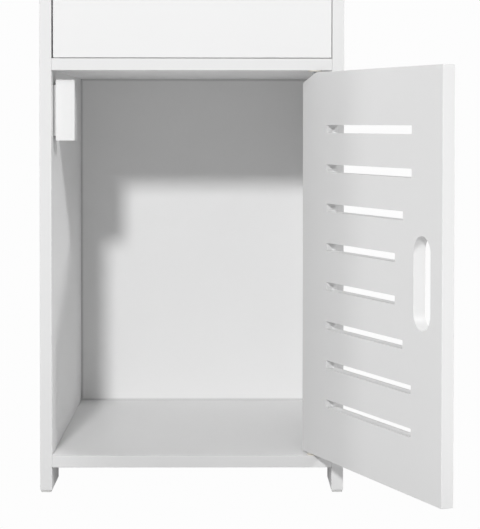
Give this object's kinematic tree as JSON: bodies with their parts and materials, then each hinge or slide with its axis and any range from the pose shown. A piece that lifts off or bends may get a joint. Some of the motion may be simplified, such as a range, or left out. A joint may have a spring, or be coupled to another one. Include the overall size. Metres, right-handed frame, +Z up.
{
  "type": "bathroom floor cabinet",
  "caption": "Narrow white floor-standing bathroom cabinet with an inset drawer, an open compartment behind a louvred pivot door with a hand-hole, and side panels that end in feet.",
  "frame": {"origin": "on the floor, in line with the front edges of the side panels, midway between them", "axes": "+X to the right seen from the front, +Y to the back, +Z up; the front faces -Y"},
  "size_m": [0.3837, 0.5794, 0.6],
  "materials": {
    "white_board": "white satin lacquer on every face and edge",
    "white_sheet": "thin white lacquered sheet",
    "white_plastic": "moulded, fine matte",
    "foot_plastic": "matte glide",
    "runner_plastic": "smooth extruded",
    "nylon": "natural nylon",
    "zinc_steel": "bright zinc plated",
    "cam_zinc": "die-cast zinc alloy, as cast",
    "beech": "bare fluted beech"
  },
  "bodies": {
    "carcass": {"left_side_panel": "white_board", "right_side_panel": "white_board", "bottom_panel": "white_board", "divider_panel": "white_board", "top_panel": "white_board", "back_panel": "white_sheet", "foot_pads": "foot_plastic", "carcass_screws": "zinc_steel", "screw_caps": "white_plastic", "top_cam_locks": "cam_zinc", "top_cam_bolts": "zinc_steel", "top_dowels": "beech", "back_panel_screws": "zinc_steel", "door_stop_block": "white_plastic", "door_stop_spacer": "white_plastic", "door_stop_screws": "zinc_steel", "pivot_bush_top": "nylon", "pivot_bush_bottom": "nylon", "left_drawer_runner": "runner_plastic", "right_drawer_runner": "runner_plastic", "drawer_runner_screws": "zinc_steel"},
    "door": {"door_panel": "white_board", "pivot_pin_top": "zinc_steel", "pivot_pin_bottom": "zinc_steel", "pivot_washer": "nylon"},
    "drawer": {"drawer_front": "white_board", "drawer_left_side": "white_board", "drawer_right_side": "white_board", "drawer_back": "white_board", "drawer_bottom": "white_sheet", "drawer_front_dowels": "beech", "drawer_box_screws": "zinc_steel"}
  },
  "joints": [
    {"name": "door_swing", "type": "hinge", "parent": "carcass", "child": "door", "pos_m": [0.123, 0.006, 0.23], "axis": [0, 0, 1], "range_deg": [-113, 22]},
    {"name": "drawer_slide", "type": "slide", "parent": "carcass", "child": "drawer", "axis": [0, -1, 0], "range_m": [0, 0.235]}
  ]
}
